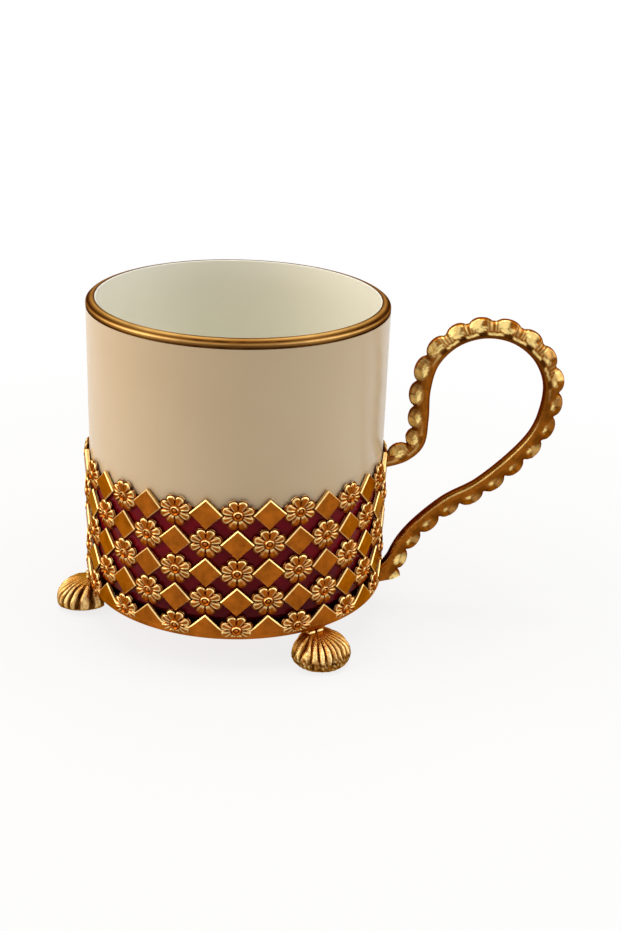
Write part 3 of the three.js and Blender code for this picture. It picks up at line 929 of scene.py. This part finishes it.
shellShape = {
    "pole": 27.5,
    "middle": 29.85,
    "reach": 5.05,
    "halfWidth": 5.65,
    "crown": -0.6,
    "bulge": 1.6,
    "dome": 0.9,
    "turns": (0.66, 0.88),  # shares of the way at which the dome meets the bulge, and the bulge the sole
    "soleShare": 0.76,
    "ribs": 16,
    "ribSpread": (0.4, 0.125),  # more and finer ribs towards the tip of the shell
    "ribDepth": 0.08, "ribRound": 0.7, "ribSink": 0.9,
    "ribStartSpan": (0.08, 0.36), "ribFade": 0.2, "ribVary": 0.1, "ribChance": (2.3, 4.4),
    "wander": 0.9, "wanderScale": (2.2, 4),
    "grit": 0.1, "gritScale": (14, 2.2), "gritSpan": (0.24, 0.44, 0.78, 0.86), "gritGrowth": (0.5, 1.0),
    "marginFade": 0.1,
    "back": 25.85,
    "sides": 264,
    "rows": 48,
    # a pair of short rolls where the shell meets the base, and the neck behind them: place, size and painted highlight
    "joins": [((28.78, -1.5, -0.42), (0.7, 1.4, 0.6), 0.7), ((28.78, 0.25, -0.42), (0.7, 1.4, 0.6), 0.7),
              ((27.1, -0.1, -0.7), (2.4, 4.0, 1.6), 0.0)],
    "joinEdge": 0.28,
    "joinSegments": 3,
    # where each foot stands, how far its sole reaches at the tip and draws in at the sides, how its ribs end, and how
    # deep the painted shade in its rib valleys grows at the sides
    "feet": {
        "shell_foot_front": {"turn": -52.8, "tip": 0.76, "tuck": 0.12, "ribEnd": 0.46, "dark": 1.0},
        "shell_foot_back": {"turn": 67.2, "tip": 0.76, "tuck": 0.12, "ribEnd": 0.46, "dark": 1.0},
        "shell_foot_left": {"turn": -168, "tip": 0.92, "tuck": 0.34, "ribEnd": 0.6, "dark": 3.2},
    },
}
# painted shade and highlights, with patina and wear, on a shell: its ribs, its rough margin below them and its crown
shellWearAndPaintedLight = {
    "valleySpan": (0.3, 0.9), "crestSpan": (0.05, 0.45), "crestStartSpan": (0.2, 0.42), "crestOwn": (0.3, 0.7),
    "crestCast": (0.4, 0.6), "crestCastSpan": (-0.3, 0.2),
    "marginDark": (0.45, 0.55), "pitSpan": (0.0, 0.25), "marginHighlight": 0.9, "marginCastSpan": (0.2, 0.45),
    "marginEndSpan": (0.7, 0.8),
    "crownSpan": (0.2, 0.4), "crownDark": 0.15, "crownHighlight": 0.15, "crownCastSpan": (0.0, 0.3),
}


def shellPoint(foot, around, along):
    # along runs from the pole under the hinge, over the bulge, to the middle of the sole
    shell, wearAndPaintedLight = shellShape, shellWearAndPaintedLight
    sole = sizes["tableHeight"]
    bulge = sole + shell["bulge"]
    angle = 2 * math.pi * around
    ahead, aside = math.cos(angle), math.sin(angle)
    soleShare = shell["soleShare"] + (foot["tip"] - shell["soleShare"]) * max(0.0, ahead) ** 2
    atBulge, atSole = shell["turns"]
    tucked = 1.0
    if along < atBulge:
        lift = math.pi / 2 * (1 - along / atBulge)
        radius = math.cos(lift) ** shell["dome"]
        height = bulge + (shell["crown"] - bulge) * math.sin(lift) ** shell["dome"]
    elif along < atSole:
        lift = math.pi / 2 * (along - atBulge) / (atSole - atBulge)
        radius = soleShare + (1 - soleShare) * math.cos(lift)
        height = bulge + (sole - bulge) * math.sin(lift)
        tucked = 1 - foot["tuck"] * math.sin(lift)
    else:
        radius = soleShare * (1 - along) / (1 - atSole)
        height = sole
        tucked = 1 - foot["tuck"]
    # the ribs wander a little, and each one ends its own way and takes its own painted highlight
    flat, upright = shell["wanderScale"]
    wander = shell["wander"] * noise.noise(Vector((flat * ahead, flat * aside, upright * along)))
    spread = shell["ribSpread"][0] * aside + shell["ribSpread"][1] * math.sin(2 * angle)
    turned = shell["ribs"] / 2 * (angle + spread) + wander
    valley = 1 - abs(math.cos(turned)) ** shell["ribRound"]
    number = math.floor(turned / math.pi + 0.5) % shell["ribs"]
    own = 0.5 + 0.5 * chance(number, *shell["ribChance"])
    ribEnd = foot["ribEnd"] + shell["ribVary"] * own
    ribbed = rise(shell["ribStartSpan"], along) * fall((ribEnd, ribEnd + shell["ribFade"]), along)
    shrink = 1 - shell["ribDepth"] * valley * ribbed
    edge = Vector((shell["middle"] + shell["reach"] * ahead, shell["halfWidth"] * aside * tucked, 0))
    point = Vector((shell["pole"], 0, 0)).lerp(edge, radius * shrink)
    upward = height - sole
    point.z = sole + upward * (1 - shell["ribSink"] * (1 - shrink) * rise((0.0, shell["bulge"]), upward))
    # cast grit, coarser on the margin below the ribs
    flat, upright = shell["gritScale"]
    cast = noise.noise(Vector((flat * radius * ahead, flat * radius * aside, upright * height)))
    outward = Vector((point.x - shell["middle"], point.y, point.z - bulge)).normalized()
    margin = rise((ribEnd, ribEnd + shell["marginFade"]), along)
    gritty = within(shell["gritSpan"], along) * graded(shell["gritGrowth"], margin)
    point += shell["grit"] * cast * gritty * outward
    # painted shade in the rib valleys, deeper at the sides, at the crown and in the pits of the margin; painted
    # highlights on the rib crests, the crown and the grit of the margin
    dark = graded((1, foot["dark"] - 1), 1 - max(0.0, ahead))
    onCrown = fall(wearAndPaintedLight["crownSpan"], along)
    hollowAndShade = rise(wearAndPaintedLight["valleySpan"], valley * dark) * ribbed + wearAndPaintedLight["crownDark"] * onCrown
    hollowAndShade += margin * graded(wearAndPaintedLight["marginDark"], rise(wearAndPaintedLight["pitSpan"], -cast))
    rubbedAndHighlight = fall(wearAndPaintedLight["crestSpan"], valley) * rise(wearAndPaintedLight["crestStartSpan"], along) * (1 - margin)
    rubbedAndHighlight *= graded(wearAndPaintedLight["crestOwn"], own) * graded(wearAndPaintedLight["crestCast"], rise(wearAndPaintedLight["crestCastSpan"], cast))
    rubbedAndHighlight += wearAndPaintedLight["marginHighlight"] * margin * rise(wearAndPaintedLight["marginCastSpan"], cast) * fall(wearAndPaintedLight["marginEndSpan"], along)
    rubbedAndHighlight += wearAndPaintedLight["crownHighlight"] * onCrown * rise(wearAndPaintedLight["crownCastSpan"], cast)
    return point, min(1.0, hollowAndShade), min(1.0, rubbedAndHighlight)


def makeFeet():
    shell = shellShape
    joins = bmesh.new()
    wearAndPaintedLight = joins.verts.layers.float.new("wearAndPaintedLight")
    for joinPlace, size, rubbedAndHighlight in shell["joins"]:
        sized = Matrix.Translation(joinPlace) @ Matrix.Diagonal((*size, 1))
        for vert in bmesh.ops.create_cube(joins, size=1.0, matrix=sized)["verts"]:
            vert[wearAndPaintedLight] = rubbedAndHighlight
    roundOff(joins, joins.edges[:], shell["joinEdge"], shell["joinSegments"])
    for node, foot in shell["feet"].items():
        bm = wrapGrid(shell["sides"], shell["rows"], lambda around, along: shellPoint(foot, around, along))
        cutAway(bm, (shell["back"], 0, 0), (-1, 0, 0))
        addShape(bm, joins)
        turn = Matrix.Rotation(math.radians(foot["turn"]), 3, "Z")
        bmesh.ops.rotate(bm, cent=(0, 0, 0), matrix=turn, verts=bm.verts)
        name = "shellFoot" + node.split("_")[-1].capitalize()
        makePiece(name, bm, [gold["shellGold"]], "holder", [node], sharpAngle=70)
    joins.free()


makeFeet()


# floor, light and camera

studio = {
    "floorColour": colour(236, 234, 230),
    "floorRoughness": 0.9,
    "floorSize": 6.0,
    "floorGap": 0.02,  # under the feet, in millimetres
    "white": (1, 1, 1, 1),
    "whiteNear": 0.82,  # so that the shadow shows near the object
    "nearSpan": (0.05, 0.16),
    "fill": (0.5, 0.48, 0.46, 1.0),
    "fillStrength": 0.13,
    # place, size, power and tint
    "lamps": {
        "keyLeft": ((-0.49, -0.11, 0.27), 0.6, 2.42, (1.0, 0.9, 0.78)),
        "keyRight": ((0.49, -0.06, 0.28), 0.6, 1.36, (1.0, 0.99, 0.97)),
        "topSoft": ((0.0, 0.06, 0.5), 0.5, 1.2, (1.0, 1.0, 0.98)),
        "topGlint": ((0.0, 0.02, 0.52), 0.1, 0.45, (1.0, 1.0, 0.98)),
    },
    "aim": (0.01, 0.0, 0.025),
}


def seenRays(tree):
    # 1 for the rays that see the white background: camera, glossy and transmission
    rays = addNode(tree, "ShaderNodeLightPath").outputs
    direct = combine(tree, "MAXIMUM", rays["Is Camera Ray"], rays["Is Glossy Ray"])
    return combine(tree, "MAXIMUM", direct, rays["Is Transmission Ray"])


def makeFloor():
    sheet = bmesh.new()
    bmesh.ops.create_grid(sheet, x_segments=4, y_segments=4, size=studio["floorSize"] / 2)
    level = (sizes["tableHeight"] - studio["floorGap"]) * millimetre
    bmesh.ops.translate(sheet, vec=(0, 0, level), verts=sheet.verts)
    material, tree, shader = newMaterial("palePaper")
    floor = meshObject("paleFloor", sheet, [material])
    shader.inputs["Base Color"].default_value = studio["floorColour"]
    shader.inputs["Roughness"].default_value = studio["floorRoughness"]
    place = addNode(tree, "ShaderNodeTexCoord").outputs["Object"]
    away = addNode(tree, "ShaderNodeVectorMath", {0: place}, operation="LENGTH").outputs["Value"]
    near = mapRange(tree, away, studio["nearSpan"], (studio["whiteNear"], 1.0))
    white = addNode(tree, "ShaderNodeEmission", {"Color": studio["white"], "Strength": 1.0})
    share = combine(tree, "MULTIPLY", seenRays(tree), near)
    blend = addNode(tree, "ShaderNodeMixShader", {
        "Fac": share, 1: shader.outputs["BSDF"], 2: white.outputs["Emission"]})
    output = next(node for node in tree.nodes if node.type == "OUTPUT_MATERIAL")
    tree.links.new(blend.outputs["Shader"], output.inputs["Surface"])


def makeRoom():
    world = bpy.data.worlds.new("softRoom")
    scene.world = world
    world.use_nodes = True
    tree = world.node_tree
    tree.nodes.clear()
    fill = addNode(tree, "ShaderNodeBackground", {"Color": studio["fill"], "Strength": studio["fillStrength"]})
    white = addNode(tree, "ShaderNodeBackground", {"Color": studio["white"], "Strength": 1.0})
    blend = addNode(tree, "ShaderNodeMixShader", {
        "Fac": seenRays(tree), 1: fill.outputs["Background"], 2: white.outputs["Background"]})
    addNode(tree, "ShaderNodeOutputWorld", {"Surface": blend.outputs["Shader"]})


def makeLamps():
    aim = Vector(studio["aim"])
    for name, (place, size, power, tint) in studio["lamps"].items():
        light = bpy.data.lights.new(name, "AREA")
        light.shape = "DISK"
        light.size, light.energy, light.color = size, power, tint
        stand = addObject(name, light)
        stand.location = place
        stand.rotation_mode = "QUATERNION"
        stand.rotation_quaternion = (aim - Vector(place)).to_track_quat("-Z", "Y")
        stand.visible_camera = False
    print("studio lit")


cameraPlace = {
    "place": (0.02049, -0.24047, 0.12258),
    "heading": 1.505,
    "tilt": 22.585,
    "roll": 2.174,
    "lens": 52.58,
    "sensor": 36.0,
    "clip": (0.01, 20.0),
}


def makeCamera():
    data = bpy.data.cameras.new("photoCamera")
    data.sensor_width = cameraPlace["sensor"]
    data.lens = cameraPlace["lens"]
    data.clip_start, data.clip_end = cameraPlace["clip"]
    camera = addObject("photoCamera", data)
    turn = (Matrix.Rotation(math.radians(cameraPlace["heading"]), 4, "Z")
            @ Matrix.Rotation(math.radians(90 - cameraPlace["tilt"]), 4, "X")
            @ Matrix.Rotation(math.radians(cameraPlace["roll"]), 4, "Z"))
    camera.matrix_world = Matrix.Translation(cameraPlace["place"]) @ turn
    scene.camera = camera
    print("camera placed")


makeFloor()
makeRoom()
makeLamps()
makeCamera()
scene.view_settings.view_transform = "Standard"
